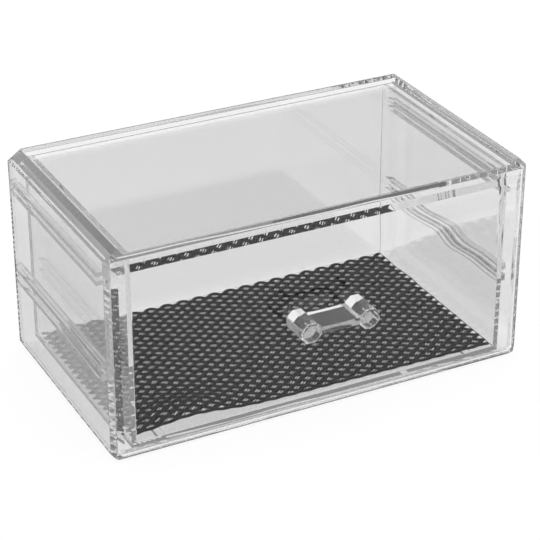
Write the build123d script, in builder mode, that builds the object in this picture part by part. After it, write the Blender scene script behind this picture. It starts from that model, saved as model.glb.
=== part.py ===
"""Clear drawer box for brushes and small cosmetics.

A bevelled casing, open at the front, holds one full-width drawer. The drawer has a
bow-tie handle on its front and a loose mesh liner on its floor. The casing's top is
recessed inside a rim on three sides, so a second box can stand on it.

Frame: X runs across the front, +Y from the front to the back and +Z up. The origin is the
centre of the casing's flat underside. Lengths are in millimetres.
"""
from build123d import *

import math
import os

os.makedirs("parts", exist_ok=True)

# Casing
case_width = 240.0
case_depth = 135.0
case_height = 120.0  # to the ridge of the rim
case_wall = 3.0
rim_rise = 4.0  # from the top panel up to the ridge
rim_bevel = 6.5  # outer 45 degree bevel, up to the ridge
rim_land = 0.7  # flat width of the ridge
rim_slope = 2.8  # run of the inner slope, from the ridge down to the panel
upright_bevel = 4.5  # the two back uprights
base_bevel = 4.5  # around the underside
mouth_bevel = 2.4  # on the uprights and the floor's edge at the mouth

# Grooved guides on the inside of the casing's side walls, two ribs to a guide
guide_levels = (41.4, 95.1)  # underside of each guide
guide_ribs = (3.9, 2.4)  # height of a rib in each guide
guide_grooves = (2.9, 2.4)  # height of the groove between the ribs
guide_reach = 4.0  # how far the ribs stand out of the wall
guide_round = 1.0  # on the two long edges of each rib
guide_setback = 13.0  # from the mouth to the front end of the ribs

# Drawer
guide_clearance = 4.5  # between the ribs and the tray's sides
tray_wall = 2.5
tray_base = 2.3
tray_fillet = 0.5  # inside the tray's corners and along its floor
runner_height = 1.9  # two runners carry the tray clear of the casing's floor
runner_width = 4.0
runner_inset = 17.5  # from the tray's side to the middle of a runner
front_thickness = 4.0
face_margin = 3.6  # plain strip along the top of the front
face_bevel = 3.4  # width of the bevel round the raised face
face_relief = 1.8  # how far the raised face stands proud of the plain strip
slide_gap = 0.3  # around the drawer
back_gap = 1.5  # behind the drawer

# Handle
handle_reach = 17.2
handle_spacing = 33.5  # between the centres of the two heads
handle_rise = 57.2  # from the underside of the casing to the handle's centre
head_size = 11.4  # across the flats of an octagonal head
head_bevel = 0.6
head_bore = 9.2  # diameter of the blind bore in the end of each head
head_bore_depth = 4.5
web_end = 5.0  # height of the web where it meets a head
web_waist = 3.8  # height of the web at its middle

# Liner
liner_thickness = 1.5
liner_side_gap = 0.6
liner_back_gap = 1.0
liner_front_gap = 5.0
liner_columns = 20
liner_rows = 14
liner_gap_width = 6.4
liner_gap_depth = 5.0

# Places that follow from the sizes above
front_y = -case_depth / 2
back_y = case_depth / 2
inner_half = case_width / 2 - case_wall
panel_top = case_height - rim_rise
ceiling = panel_top - case_wall
ridge_inset = rim_bevel + rim_land
panel_inset = ridge_inset + rim_slope
tray_width = 2 * (inner_half - guide_reach - guide_clearance)
drawer_base = case_wall + slide_gap
drawer_top = ceiling - slide_gap
tray_front = front_y + front_thickness
tray_back = back_y - case_wall - back_gap
tray_underside = drawer_base + runner_height
tray_floor = tray_underside + tray_base
front_width = 2 * (inner_half - slide_gap)


def bevel_inside(bevel, distance):
    """The 45 degree bevel of an outline that lies at an even distance inside another."""
    return bevel - distance * (2 - math.sqrt(2))


bay_base_bevel = bevel_inside(base_bevel, case_wall)
bay_top_bevel = bevel_inside(rim_bevel - rim_rise, case_wall)


# The space inside the casing, which runs out through the mouth
with BuildPart() as bay:
    with BuildSketch(Plane.XY.offset(case_wall)):
        with Locations((0, -case_wall / 2)):
            Rectangle(2 * inner_half, case_depth - case_wall)
    extrude(amount=ceiling - case_wall)
    chamfer(bay.edges().filter_by(Axis.Z).group_by(Axis.Y)[-1], bevel_inside(upright_bevel, case_wall))
    for end, bevel in ((0, bay_base_bevel), (-1, bay_top_bevel)):
        outline = bay.faces().sort_by(Axis.Z)[end].edges()
        chamfer(outline - outline.group_by(Axis.Y)[0], bevel)

# The recess in the casing's top, which runs out over the mouth
with BuildPart() as recess:
    for inset, height in ((panel_inset, panel_top), (ridge_inset, case_height)):
        with BuildSketch(Plane.XY.offset(height)):
            with Locations((0, -inset)):
                Rectangle(case_width - 2 * inset, case_depth)
    loft()

# The grooved guides, which stand on the side walls
with BuildPart() as guides:
    guide_length = case_depth - guide_setback - case_wall
    guide_middle = (guide_setback - case_wall) / 2
    for level, rib, groove in zip(guide_levels, guide_ribs, guide_grooves):
        for rib_base in (level, level + rib + groove):
            for side in (-1, 1):
                with Locations((side * (inner_half - guide_reach / 2), guide_middle, rib_base + rib / 2)):
                    Box(guide_reach, guide_length, rib)
    long_edges = guides.edges().filter_by(Axis.Y)
    fillet(long_edges.filter_by_position(Axis.X, guide_reach - inner_half, inner_half - guide_reach), guide_round)

with BuildPart() as casing:
    with BuildSketch():
        Rectangle(case_width, case_depth)
    extrude(amount=case_height)
    chamfer(casing.edges().filter_by(Axis.Z).group_by(Axis.Y)[-1], upright_bevel)
    chamfer(casing.edges().filter_by(Axis.Z).group_by(Axis.Y)[0], mouth_bevel)
    for end, bevel in ((-1, rim_bevel), (0, base_bevel)):
        outline = casing.faces().sort_by(Axis.Z)[end].edges()
        from_mouth = outline.group_by(Axis.Y)
        chamfer(outline - from_mouth[0] - from_mouth[1], bevel)
    chamfer(casing.faces().sort_by(Axis.Z)[0].edges().sort_by(Axis.Y)[0], mouth_bevel)
    add(recess.part, mode=Mode.SUBTRACT)
    add(bay.part, mode=Mode.SUBTRACT)
    add(guides.part)
casing.part.label = "casing"
export_step(casing.part, "parts/casing.step")

# The space inside the drawer's tray
with BuildPart() as tray_space:
    with BuildSketch(Plane.XY.offset(tray_floor)):
        with Locations((0, (tray_front + tray_back - tray_wall) / 2)):
            Rectangle(tray_width - 2 * tray_wall, tray_back - tray_wall - tray_front)
    extrude(amount=drawer_top - tray_floor)
    fillet(tray_space.edges().filter_by(Axis.Z), tray_fillet)
    fillet(tray_space.faces().sort_by(Axis.Z)[0].edges(), tray_fillet)

# Drawer: a tray with a wider front, in one moulding
with BuildPart() as drawer:
    with BuildSketch(Plane.XY.offset(tray_underside)):
        with Locations((0, (tray_front + tray_back) / 2)):
            Rectangle(tray_width, tray_back - tray_front)
    extrude(amount=drawer_top - tray_underside)
    runner_back = back_y - case_wall - bay_base_bevel  # stops short of the bay's bevel
    with BuildSketch(Plane.XY.offset(drawer_base)):
        with Locations((0, (tray_front + runner_back) / 2)):
            with GridLocations(tray_width - 2 * runner_inset, 1, 2, 1):
                Rectangle(runner_width, runner_back - tray_front)
    extrude(amount=runner_height)
    with BuildSketch(Plane.XZ.offset(-front_y - face_relief)) as front_outline:
        with Locations((0, (drawer_base + drawer_top) / 2)):
            Rectangle(front_width, drawer_top - drawer_base)
        for end, bevel in ((0, bay_base_bevel), (-1, bay_top_bevel)):
            corners = front_outline.vertices().group_by(Axis.Y)[end]
            chamfer(corners, bevel_inside(bevel, slide_gap))
    extrude(amount=face_relief - front_thickness)
    for inset, depth in ((0, face_relief), (face_bevel, 0)):
        with BuildSketch(Plane.XZ.offset(-front_y - depth)) as face_outline:
            with Locations((0, (drawer_base + drawer_top - face_margin) / 2)):
                Rectangle(front_width, drawer_top - face_margin - drawer_base)
            chamfer(face_outline.vertices().group_by(Axis.Y)[0], bevel_inside(bay_base_bevel, slide_gap))
            if inset:
                offset(amount=-inset, kind=Kind.INTERSECTION, mode=Mode.REPLACE)
    loft()
    add(tray_space.part, mode=Mode.SUBTRACT)
drawer.part.label = "drawer"
export_step(drawer.part, "parts/drawer.step")

# Handle: two octagonal heads and a waisted web between them, as a bow tie
with BuildPart() as handle:
    with BuildSketch(Plane.XZ.offset(-front_y)):
        with Locations((0, handle_rise)):
            with Locations((-handle_spacing / 2, 0), (handle_spacing / 2, 0)):
                RegularPolygon(head_size / 2, 8, major_radius=False, rotation=22.5)
    extrude(amount=handle_reach)
    chamfer(handle.faces().sort_by(Axis.Y)[:2].edges(), head_bevel)
    with BuildSketch(Plane.XZ.offset(-front_y)):
        with BuildLine():
            upper = ThreePointArc(
                (-handle_spacing / 2, handle_rise + web_end / 2),
                (0, handle_rise + web_waist / 2),
                (handle_spacing / 2, handle_rise + web_end / 2),
            )
            lower = ThreePointArc(
                (-handle_spacing / 2, handle_rise - web_end / 2),
                (0, handle_rise - web_waist / 2),
                (handle_spacing / 2, handle_rise - web_end / 2),
            )
            Line(upper @ 0, lower @ 0)
            Line(upper @ 1, lower @ 1)
        make_face()
    extrude(amount=handle_reach - head_bevel)
    with Locations(Plane.XZ.offset(handle_reach - front_y)):
        with Locations((-handle_spacing / 2, handle_rise), (handle_spacing / 2, handle_rise)):
            Hole(head_bore / 2, depth=head_bore_depth)
handle.part.label = "handle"
export_step(handle.part, "parts/handle.step")

# Liner: a flat net of staggered six-sided gaps, loose on the tray's floor
liner_width = tray_width - 2 * (tray_wall + liner_side_gap)
liner_front = tray_front + liner_front_gap
liner_back = tray_back - tray_wall - liner_back_gap
column_pitch = liner_width / (liner_columns + 1)
row_pitch = (liner_back - liner_front) / (liner_rows + 1)
with BuildPart() as mesh_liner:
    with BuildSketch(Plane.XY.offset(tray_floor)):
        with Locations((0, (liner_front + liner_back) / 2)):
            Rectangle(liner_width, liner_back - liner_front)
            for row in range(liner_rows):
                shift = (row % 2 - 0.5) * column_pitch / 2
                row_y = (row - (liner_rows - 1) / 2) * row_pitch
                with Locations((shift, row_y)):
                    with GridLocations(column_pitch, 1, liner_columns, 1):
                        with BuildLine():
                            Polyline(
                                (-liner_gap_width / 2, 0),
                                (-liner_gap_width / 4, liner_gap_depth / 2),
                                (liner_gap_width / 4, liner_gap_depth / 2),
                                (liner_gap_width / 2, 0),
                                (liner_gap_width / 4, -liner_gap_depth / 2),
                                (-liner_gap_width / 4, -liner_gap_depth / 2),
                                close=True,
                            )
                        make_face(mode=Mode.SUBTRACT)
    extrude(amount=liner_thickness)
mesh_liner.part.label = "mesh_liner"
export_step(mesh_liner.part, "parts/mesh_liner.step")
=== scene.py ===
"""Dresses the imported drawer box: clear moulded plastic, and a black knitted net on the drawer's floor.

Lengths are in metres and colours are linear.
"""

import math

import bmesh
import bpy
from mathutils import Euler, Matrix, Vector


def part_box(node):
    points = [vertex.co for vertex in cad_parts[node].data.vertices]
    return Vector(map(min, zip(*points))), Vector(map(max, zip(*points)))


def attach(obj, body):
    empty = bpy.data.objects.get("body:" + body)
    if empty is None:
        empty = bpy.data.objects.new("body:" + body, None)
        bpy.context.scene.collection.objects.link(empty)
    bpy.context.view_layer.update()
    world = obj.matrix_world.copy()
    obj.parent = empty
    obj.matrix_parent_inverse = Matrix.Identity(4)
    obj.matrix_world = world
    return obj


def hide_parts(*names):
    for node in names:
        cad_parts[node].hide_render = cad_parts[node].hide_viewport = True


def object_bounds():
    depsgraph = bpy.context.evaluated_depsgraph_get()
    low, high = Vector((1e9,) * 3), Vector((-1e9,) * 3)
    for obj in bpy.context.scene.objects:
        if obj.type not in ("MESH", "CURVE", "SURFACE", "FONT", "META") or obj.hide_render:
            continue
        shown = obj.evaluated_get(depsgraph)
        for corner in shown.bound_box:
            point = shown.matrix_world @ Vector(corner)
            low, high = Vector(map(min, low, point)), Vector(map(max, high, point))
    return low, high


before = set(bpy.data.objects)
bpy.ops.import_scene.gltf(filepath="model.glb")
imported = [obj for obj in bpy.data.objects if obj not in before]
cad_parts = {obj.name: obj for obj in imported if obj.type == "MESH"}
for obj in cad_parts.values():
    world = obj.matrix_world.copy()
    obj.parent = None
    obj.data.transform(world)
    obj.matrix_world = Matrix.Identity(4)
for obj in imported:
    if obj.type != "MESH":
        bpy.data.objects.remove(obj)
cad_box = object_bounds()
liner_low, liner_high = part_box("mesh_liner")

# Camera, fitted to the photograph's outline corners
CAMERA_PLACE = (-0.4241, -0.8347, 0.5468)
CAMERA_YAW = math.radians(27.085)  # turned from +Y towards +X
CAMERA_PITCH = math.radians(27.984)  # below the horizon
CAMERA_LENS = 130.87  # mm
CAMERA_SENSOR = 36.0  # mm

# Stage
WHITE = (1.0, 1.0, 1.0, 1.0)
FLOOR_HALF = 6.0  # from the floor's middle to each side
FLOOR_DROP = 0.0002  # from the casing's underside to the floor
FLOOR_TONE = (0.1, 0.1, 0.1, 1.0)
FLOOR_ROUGHNESS = 0.9
FLOOR_GLOW = 0.92
FLOOR_FADE = (0.35, 0.8)  # distances from the middle between which the glow seen through plastic fades
FLOOR_FAR = 0.12  # share of that glow which is left further out
GLOSS_SHARE = 0.05  # share of the glow in reflections
SKY_RISE = (0.5, 0.95)  # sines of the angles above the horizon between which the light overhead comes in
SKY_LOW = 0.1
SKY_HIGH = 2.0
SKY_THROUGH = 0.4  # least strength seen through plastic
LIGHT_BOUNCES = 160

# Clear plastic
PLASTIC_IOR = 1.5
PLASTIC_TINT = (0.945, 0.945, 0.945, 1.0)
PLASTIC_HAZE = 0.0
PLASTIC_SHADE = (0.0, 0.0, 0.0, 1.0)
PLASTIC_DENSITY = 1.8  # per metre
RIPPLE_SCALE = 14.0  # ripples to a metre
RIPPLE_DETAIL = 1.0
RIPPLE_DEPTH = 0.0001

# Slow waves in the upper right of the drawer's front, where each pair leads from none to full
WAVE_HEIGHT = -8.0  # in ripple depths
WAVE_LENGTH = 0.032
WAVE_SIDE = (0.03, 0.08)  # along X
WAVE_FRONT = (-0.06, -0.0625)  # along Y
WAVE_TOP = (0.055, 0.09)  # along Z

# Mouldings
WELD_DISTANCE = 1e-6  # merges the corners of a CAD mesh's loose triangles
FLAT_ANGLE = math.radians(0.5)  # facets that turn less than this become one face
SHARP_ANGLE = math.radians(28)  # edges that turn more than this get a round
ROUND_SEGMENTS = 3
EDGE_ROUND = 0.0004
HANDLE_ROUND = 0.0003
HANDLE_HAZE = 0.1
HANDLE_AIR = 0.00005  # film of air behind the handle
BACK_DEPTH = 1e-5  # how near the handle's back a corner of the back lies

# Yarn
YARN_STRANDS = 2500.0  # strands to a metre
YARN_RELIEF = 0.0001
YARN_DARK = (0.001, 0.001, 0.001, 1.0)
YARN_PALE = (0.005, 0.005, 0.005, 1.0)
YARN_ROUGHNESS = 0.6
YARN_SHINE = 0.04

# Knitted net
NET_HOLE_PITCH = 0.010  # along X
NET_BUNDLE_PITCH = 0.00293  # along Y
NET_BUNDLE_WIDTH = 0.0028
NET_BUNDLE_THICKNESS = 0.0009
NET_BUNDLE_SIDES = 8
NET_STEPS = 171  # points along a bundle
NET_SWAY = 0.0011
NET_LIFT = 0.0002
NET_RAGGED = 0.006  # a bundle is cut short by up to twice this share
NET_RAGGED_TURN = 2.4  # radians between one bundle's share and the next
NET_SWELL = 0.004  # height of the low fold near the net's front left corner
NET_SWELL_PLACE = (-0.072, -0.050)  # in X and Y
NET_SWELL_REACH = (0.024, 0.016)  # along X and Y
NET_PULL = 0.003  # how much nearer the drawer's front the net's front right corner lies

# Threads that cross the net's holes
THREAD_PITCH = 0.0012
THREAD_WIDTH = 0.00068
THREAD_SIDES = 4
THREAD_STEPS = 61  # points along a thread before it is cut to the net
THREAD_LEAST = 2.0  # a cut thread with fewer points is left out
THREAD_TURN = math.radians(38)
WANDER_SCALE = 90.0
WANDER_DETAIL = 2.0
WANDER_STRETCH = -3.0  # shift along X for each shift along Y


# ---------------------------------------------------------------- helpers
class Nodes:
    """Adds nodes to a tree and links them."""

    def __init__(self, tree):
        self.tree = tree

    def fill(self, node, inputs):
        """Fills a node's inputs by name or number, with plain values or other nodes' outputs."""
        for key, value in dict(inputs).items():
            if isinstance(value, bpy.types.NodeSocket):
                self.tree.links.new(value, node.inputs[key])
            else:
                node.inputs[key].default_value = value

    def add(self, kind, inputs=(), **settings):
        """A new node."""
        node = self.tree.nodes.new(kind)
        for key, value in settings.items():
            setattr(node, key, value)
        self.fill(node, inputs)
        return node

    def result(self, kind, inputs=(), **settings):
        """The first output of a new node."""
        return self.add(kind, inputs, **settings).outputs[0]

    def parts(self, vector):
        """A vector's X, Y and Z."""
        return self.add("ShaderNodeSeparateXYZ", {"Vector": vector}).outputs

    def work_out(self, operation, *values):
        """The result of a math node."""
        return self.result("ShaderNodeMath", enumerate(values), operation=operation)

    def plus(self, first, second):
        return self.work_out("ADD", first, second)

    def minus(self, first, second):
        return self.work_out("SUBTRACT", first, second)

    def times(self, first, second):
        return self.work_out("MULTIPLY", first, second)

    def over(self, first, second):
        return self.work_out("DIVIDE", first, second)

    def larger(self, first, second):
        return self.work_out("MAXIMUM", first, second)

    def fade(self, value, ends, low=0.0, high=1.0):
        """Goes smoothly from low to high while a value goes from one end to the other."""
        start, stop = ends
        limits = {"Value": value, "From Min": start, "From Max": stop, "To Min": low, "To Max": high}
        return self.result("ShaderNodeMapRange", limits, interpolation_type="SMOOTHSTEP")


def new_object(name, data):
    """Puts a new object in the scene."""
    thing = bpy.data.objects.new(name, data)
    bpy.context.scene.collection.objects.link(thing)
    return thing


def finished_mesh(thing, name):
    """What an object's modifiers make of it, as a plain mesh."""
    evaluated = thing.evaluated_get(bpy.context.evaluated_depsgraph_get())
    mesh = bpy.data.meshes.new_from_object(evaluated)
    mesh.name = name
    return mesh


# ---------------------------------------------------------------- materials
def new_material(name):
    """A node material, with its nodes and its principled shader."""
    material = bpy.data.materials.new(name)
    material.use_nodes = True
    nodes = Nodes(material.node_tree)
    return material, nodes, nodes.tree.nodes["Principled BSDF"]


def front_waves(nodes, place):
    """Height of the waves in the drawer's front, which bend what is seen through it."""
    parts = nodes.parts(place)
    wave = nodes.work_out("SINE", nodes.times(parts["Z"], 2 * math.pi / WAVE_LENGTH))
    height = nodes.times(wave, WAVE_HEIGHT)
    for axis, ends in (("X", WAVE_SIDE), ("Y", WAVE_FRONT), ("Z", WAVE_TOP)):
        height = nodes.times(height, nodes.fade(parts[axis], ends))
    return height


def clear_plastic(name, haze=PLASTIC_HAZE, wavy=False):
    """Moulded plastic with faint ripples, and with waves where it is the drawer's."""
    material, nodes, shader = new_material(name)
    place = nodes.add("ShaderNodeTexCoord").outputs["Object"]
    ripple = {"Vector": place, "Scale": RIPPLE_SCALE, "Detail": RIPPLE_DETAIL}
    height = nodes.result("ShaderNodeTexNoise", ripple)
    if wavy:
        height = nodes.plus(height, front_waves(nodes, place))
    surface = {
        "Base Color": PLASTIC_TINT,
        "Roughness": haze,
        "IOR": PLASTIC_IOR,
        "Transmission Weight": 1.0,
        "Normal": nodes.result("ShaderNodeBump", {"Height": height, "Distance": RIPPLE_DEPTH}),
    }
    nodes.fill(shader, surface)
    depth = {"Color": PLASTIC_SHADE, "Density": PLASTIC_DENSITY}
    volume = nodes.result("ShaderNodeVolumeAbsorption", depth)
    nodes.fill(nodes.tree.nodes["Material Output"], {"Volume": volume})
    return material


def black_yarn(name):
    """Matt black yarn, with its fine strands in tone and relief."""
    material, nodes, shader = new_material(name)
    place = nodes.add("ShaderNodeTexCoord").outputs["Object"]
    strands = nodes.result("ShaderNodeTexNoise", {"Vector": place, "Scale": YARN_STRANDS})
    tone = nodes.add("ShaderNodeValToRGB", {"Fac": strands})
    dark, pale = tone.color_ramp.elements
    dark.color = YARN_DARK
    pale.color = YARN_PALE
    surface = {
        "Base Color": tone.outputs["Color"],
        "Roughness": YARN_ROUGHNESS,
        "Specular IOR Level": YARN_SHINE,
        "Normal": nodes.result("ShaderNodeBump", {"Height": strands, "Distance": YARN_RELIEF}),
    }
    nodes.fill(shader, surface)
    return material


# ---------------------------------------------------------------- mouldings
def moulded(node_name, body, edge, material):
    """A CAD node's own form with the small round that a mould leaves on each edge, in the node's place."""
    name = node_name + "_moulding"
    form = bmesh.new()
    form.from_mesh(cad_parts[node_name].data)
    bmesh.ops.remove_doubles(form, verts=form.verts, dist=WELD_DISTANCE)
    bmesh.ops.dissolve_limit(form, angle_limit=FLAT_ANGLE, verts=form.verts, edges=form.edges)
    sharp = bpy.data.meshes.new(name + "_sharp")
    form.to_mesh(sharp)
    form.free()
    if "custom_normal" in sharp.attributes:
        sharp.attributes.remove(sharp.attributes["custom_normal"])
    sharp.shade_smooth()
    piece = new_object(name, sharp)
    round_off = piece.modifiers.new("edge", "BEVEL")
    round_off.width = edge
    round_off.segments = ROUND_SEGMENTS
    round_off.limit_method = "ANGLE"
    round_off.angle_limit = SHARP_ANGLE
    round_off.use_clamp_overlap = True
    round_off.harden_normals = True
    rounded = finished_mesh(piece, name)
    piece.modifiers.clear()
    piece.data = rounded
    rounded.materials.clear()
    rounded.materials.append(material)
    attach(piece, body)
    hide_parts(node_name)
    return piece


def clear_casing():
    moulded("casing", "casing", EDGE_ROUND, clear_plastic("clear_plastic"))


def clear_drawer():
    """The drawer shows as its CAD node, because its sharp edges give the photograph's rows of beads."""
    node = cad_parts["drawer"]
    node.data.materials.clear()
    node.data.materials.append(clear_plastic("clear_plastic_front", wavy=True))


def clear_handle():
    """The handle, with a film of air behind it, so that its back shows as a surface."""
    plastic = clear_plastic("clear_plastic_handle", HANDLE_HAZE)
    handle = moulded("handle", "drawer", HANDLE_ROUND, plastic)
    back = max(vertex.co.y for vertex in handle.data.vertices)
    for vertex in handle.data.vertices:
        if vertex.co.y > back - BACK_DEPTH:
            vertex.co.y -= HANDLE_AIR


# ---------------------------------------------------------------- knitted net
class GeometryTree(Nodes):
    """A geometry tree with named sizes, which makes one piece of yarn."""

    def __init__(self, name, sizes):
        super().__init__(bpy.data.node_groups.new(name, "GeometryNodeTree"))
        self.name = name
        self.values = {}
        for size, value in sizes.items():
            kind = "NodeSocketInt" if isinstance(value, int) else "NodeSocketFloat"
            socket = self.tree.interface.new_socket(size, in_out="INPUT", socket_type=kind)
            self.values[socket.identifier] = value
        self.tree.interface.new_socket("Geometry", in_out="OUTPUT", socket_type="NodeSocketGeometry")
        self.entry = self.tree.nodes.new("NodeGroupInput")
        self.exit = self.tree.nodes.new("NodeGroupOutput")

    def fill(self, node, inputs):
        """Fills a node's inputs, where a word stands for the tree's own size of that name."""
        known = {}
        for key, value in dict(inputs).items():
            known[key] = self.entry.outputs[value] if isinstance(value, str) else value
        super().fill(node, known)

    def vector(self, x=0.0, y=0.0, z=0.0):
        return self.result("ShaderNodeCombineXYZ", {"X": x, "Y": y, "Z": z})

    def lines(self, start, count, pitch, half):
        """Straight lines along X, one after another along Y, each with points along it."""
        spread = {"Count": count, "Start Location": start, "Offset": self.vector(y=pitch)}
        middles = self.result("GeometryNodeMeshLine", spread)
        ends = {"Start": self.vector(x=self.times(half, -1.0)), "End": self.vector(x=half)}
        line = self.result("GeometryNodeCurvePrimitiveLine", ends)
        fine = self.result("GeometryNodeResampleCurve", {"Curve": line, "Count": "Steps"})
        copies = self.result("GeometryNodeInstanceOnPoints", {"Points": middles, "Instance": fine})
        return self.result("GeometryNodeRealizeInstances", {"Geometry": copies})

    def yarn(self, lines, section):
        """Lines with a section, closed at their ends and shaded smooth."""
        profile = {"Curve": lines, "Profile Curve": section, "Fill Caps": True}
        solid = self.result("GeometryNodeCurveToMesh", profile)
        return self.result("GeometryNodeSetShadeSmooth", {"Geometry": solid})

    def piece(self, geometry, material):
        """Ends the tree with real geometry in one material, and makes a plain mesh object of it."""
        real = self.result("GeometryNodeRealizeInstances", {"Geometry": geometry})
        coated = self.result("GeometryNodeSetMaterial", {"Geometry": real, "Material": material})
        self.tree.links.new(coated, self.exit.inputs["Geometry"])
        carrier = new_object(self.name + "_tree", bpy.data.meshes.new(self.name + "_tree"))
        modifier = carrier.modifiers.new("tree", "NODES")
        modifier.node_group = self.tree
        for identifier, value in self.values.items():
            modifier[identifier] = value
        mesh = finished_mesh(carrier, self.name)
        bpy.data.objects.remove(carrier)
        return new_object(self.name, mesh)


def swell(tree, x, y):
    """Height of the low fold in the net."""
    away = []
    for place, middle, reach in zip((x, y), NET_SWELL_PLACE, NET_SWELL_REACH):
        share = tree.over(tree.minus(place, middle), reach)
        away.append(tree.times(share, share))
    fall = tree.work_out("EXPONENT", tree.times(tree.plus(*away), -1.0))
    return tree.times(fall, "Swell")


def pull(tree, x, y):
    """Shift towards the drawer's front, from none at the net's left and back to all at its front right."""
    across = tree.over(tree.minus(x, liner_low.x), liner_high.x - liner_low.x)
    ahead = tree.over(tree.minus(liner_high.y, y), liner_high.y - liner_low.y)
    return tree.times(tree.times(across, ahead), tree.times("Pull", -1.0))


def knitted_net(material):
    """Sinuous bundles of yarn side by side. Where two sway together they are knitted into one, and between
    those places stay the net's oval holes."""
    tree = GeometryTree(
        "knitted_net",
        {
            "Width": liner_high.x - liner_low.x,
            "Front": liner_low.y + NET_BUNDLE_WIDTH / 2,
            "Floor": liner_low.z,
            "Bundles": round((liner_high.y - liner_low.y) / NET_BUNDLE_PITCH),
            "Bundle Pitch": NET_BUNDLE_PITCH,
            "Bundle Width": NET_BUNDLE_WIDTH,
            "Bundle Thickness": NET_BUNDLE_THICKNESS,
            "Steps": NET_STEPS,
            "Hole Pitch": NET_HOLE_PITCH,
            "Sway": NET_SWAY,
            "Lift": NET_LIFT,
            "Ragged": NET_RAGGED,
            "Swell": NET_SWELL,
            "Pull": NET_PULL,
        },
    )
    start = tree.vector(y="Front", z="Floor")
    bundles = tree.lines(start, "Bundles", "Bundle Pitch", tree.times("Width", 0.5))
    parts = tree.parts(tree.result("GeometryNodeInputPosition"))
    x, y = parts["X"], parts["Y"]
    number = tree.work_out("ROUND", tree.over(tree.minus(y, "Front"), "Bundle Pitch"))
    turn = tree.times(tree.over(x, "Hole Pitch"), 2 * math.pi)
    wave = tree.work_out("COSINE", tree.plus(turn, tree.times(number, math.pi)))
    free = tree.work_out("MINIMUM", number, 1.0)  # the front edge is cut straight
    aside = tree.times(wave, tree.times("Sway", free))
    rise = tree.plus(tree.times(tree.plus(wave, 1.0), "Lift"), swell(tree, x, y))
    ragged = tree.times(tree.work_out("SINE", tree.times(number, NET_RAGGED_TURN)), "Ragged")
    move = tree.vector(
        tree.times(x, tree.minus(ragged, "Ragged")),
        tree.plus(aside, pull(tree, x, y)),
        tree.plus(rise, tree.times("Bundle Thickness", 0.5)),
    )
    swayed = tree.result("GeometryNodeSetPosition", {"Geometry": bundles, "Offset": move})
    level = tree.result("GeometryNodeSetCurveNormal", {"Curve": swayed}, mode="Z_UP")
    ring = tree.result("GeometryNodeCurvePrimitiveCircle", {"Resolution": NET_BUNDLE_SIDES, "Radius": 0.5})
    size = tree.vector("Bundle Width", "Bundle Thickness", 1.0)
    section = tree.result("GeometryNodeTransform", {"Geometry": ring, "Scale": size})
    net = tree.piece(tree.yarn(level, section), material)
    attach(net, "drawer")
    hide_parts("mesh_liner")
    return net


def net_threads(material):
    """Fine threads knitted through the bundles, which cross the net's holes on the slant."""
    width, depth = liner_high.x - liner_low.x, liner_high.y - liner_low.y
    reach = math.hypot(width, depth)
    tree = GeometryTree(
        "net_threads",
        {
            "Reach": reach,
            "Half Width": (width - NET_BUNDLE_WIDTH) / 2,
            "Half Depth": (depth - NET_BUNDLE_WIDTH) / 2,
            "Middle": (liner_high.y + liner_low.y) / 2,
            "Level": liner_low.z + NET_BUNDLE_THICKNESS / 2 + NET_LIFT,
            "Threads": round(reach / THREAD_PITCH),
            "Pitch": THREAD_PITCH,
            "Turn": THREAD_TURN,
            "Thread Width": THREAD_WIDTH,
            "Steps": THREAD_STEPS,
            "Wander": THREAD_PITCH,
            "Swell": NET_SWELL,
            "Pull": NET_PULL,
        },
    )
    half = tree.times("Reach", 0.5)
    start = tree.vector(y=tree.times(half, -1.0))
    rows = tree.lines(start, "Threads", "Pitch", half)
    on_net = {"Translation": tree.vector(y="Middle", z="Level"), "Rotation": tree.vector(z="Turn")}
    turned = tree.result("GeometryNodeTransform", {"Geometry": rows, **on_net})
    place = tree.result("GeometryNodeInputPosition")
    parts = tree.parts(place)
    x, y = parts["X"], parts["Y"]
    past_side = tree.work_out("GREATER_THAN", tree.work_out("ABSOLUTE", x), "Half Width")
    along = tree.work_out("ABSOLUTE", tree.minus(y, "Middle"))
    past_end = tree.work_out("GREATER_THAN", along, "Half Depth")
    outside = {"Geometry": turned, "Selection": tree.larger(past_side, past_end)}
    trimmed = tree.result("GeometryNodeDeleteGeometry", outside)
    points = tree.add("GeometryNodeSplineLength").outputs["Point Count"]
    stubs = {"Geometry": trimmed, "Selection": tree.work_out("LESS_THAN", points, THREAD_LEAST)}
    whole = tree.result("GeometryNodeDeleteGeometry", stubs)
    noise = {"Vector": place, "Scale": WANDER_SCALE, "Detail": WANDER_DETAIL}
    shift = tree.times(tree.minus(tree.result("ShaderNodeTexNoise", noise), 0.5), "Wander")
    move = tree.vector(
        tree.times(shift, WANDER_STRETCH),
        tree.plus(shift, pull(tree, x, y)),
        swell(tree, x, y),
    )
    wandering = tree.result("GeometryNodeSetPosition", {"Geometry": whole, "Offset": move})
    ring = {"Resolution": THREAD_SIDES, "Radius": tree.times("Thread Width", 0.5)}
    section = tree.result("GeometryNodeCurvePrimitiveCircle", ring)
    threads = tree.piece(tree.yarn(wandering, section), material)
    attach(threads, "drawer")
    return threads


def black_net():
    """The liner on the drawer's floor, as two pieces on the drawer: the bundles and the threads."""
    yarn = black_yarn("black_yarn")
    net = knitted_net(yarn)
    net_threads(yarn)


# ---------------------------------------------------------------- stage
def seen(nodes, through):
    """1 where the camera sees the stage straight on, with the shares for what is seen through clear plastic
    and in reflections."""
    rays = nodes.add("ShaderNodeLightPath").outputs
    clear = nodes.times(rays["Is Transmission Ray"], through)
    glossy = nodes.times(rays["Is Glossy Ray"], GLOSS_SHARE)
    return nodes.larger(rays["Is Camera Ray"], nodes.larger(clear, glossy))


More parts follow.
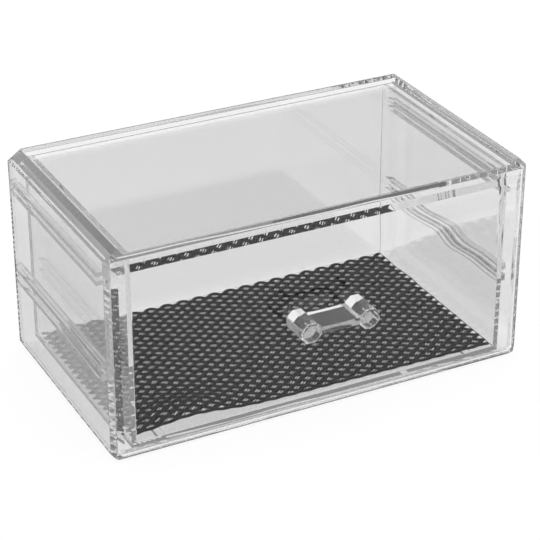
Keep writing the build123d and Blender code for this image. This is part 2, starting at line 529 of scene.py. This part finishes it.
def make_floor():
    """A pale floor, whose glow seen through the plastic fades away from the box."""
    height = cad_box[0][2] - FLOOR_DROP
    mesh = bpy.data.meshes.new("floor")
    corners = [(-1, -1), (1, -1), (1, 1), (-1, 1)]
    mesh.from_pydata([(x * FLOOR_HALF, y * FLOOR_HALF, height) for x, y in corners], [], [(0, 1, 2, 3)])
    floor = new_object("floor", mesh)
    material, nodes, shader = new_material("floor_white")
    place = nodes.add("ShaderNodeTexCoord").outputs["Object"]
    away = nodes.add("ShaderNodeVectorMath", {0: place}, operation="LENGTH").outputs["Value"]
    lit = nodes.fade(away, FLOOR_FADE, 1.0, FLOOR_FAR)
    surface = {
        "Base Color": FLOOR_TONE,
        "Roughness": FLOOR_ROUGHNESS,
        "Specular IOR Level": 0.0,
        "Emission Color": WHITE,
        "Emission Strength": nodes.times(seen(nodes, lit), FLOOR_GLOW),
    }
    nodes.fill(shader, surface)
    mesh.materials.append(material)


def make_world():
    """A pale studio: white behind and through the clear plastic, a soft light overhead and dim sides."""
    world = bpy.data.worlds.new("studio")
    bpy.context.scene.world = world
    world.use_nodes = True
    nodes = Nodes(world.node_tree)
    direction = nodes.add("ShaderNodeTexCoord").outputs["Generated"]
    sky = nodes.fade(nodes.parts(direction)["Z"], SKY_RISE, SKY_LOW, SKY_HIGH)
    light = {"Color": WHITE, "Strength": nodes.larger(sky, seen(nodes, SKY_THROUGH))}
    nodes.fill(nodes.tree.nodes["Background"], light)


def make_camera():
    data = bpy.data.cameras.new("camera")
    data.lens = CAMERA_LENS
    data.sensor_width = CAMERA_SENSOR
    camera = new_object("camera", data)
    camera.location = CAMERA_PLACE
    camera.rotation_euler = Euler((math.pi / 2 - CAMERA_PITCH, 0.0, -CAMERA_YAW))
    bpy.context.scene.camera = camera


clear_casing()
clear_drawer()
clear_handle()
black_net()
make_floor()
make_world()
make_camera()
bpy.context.scene.view_settings.view_transform = "Standard"
bpy.context.scene.cycles.max_bounces = LIGHT_BOUNCES
bpy.context.scene.cycles.transmission_bounces = LIGHT_BOUNCES
bpy.context.scene.cycles.glossy_bounces = LIGHT_BOUNCES
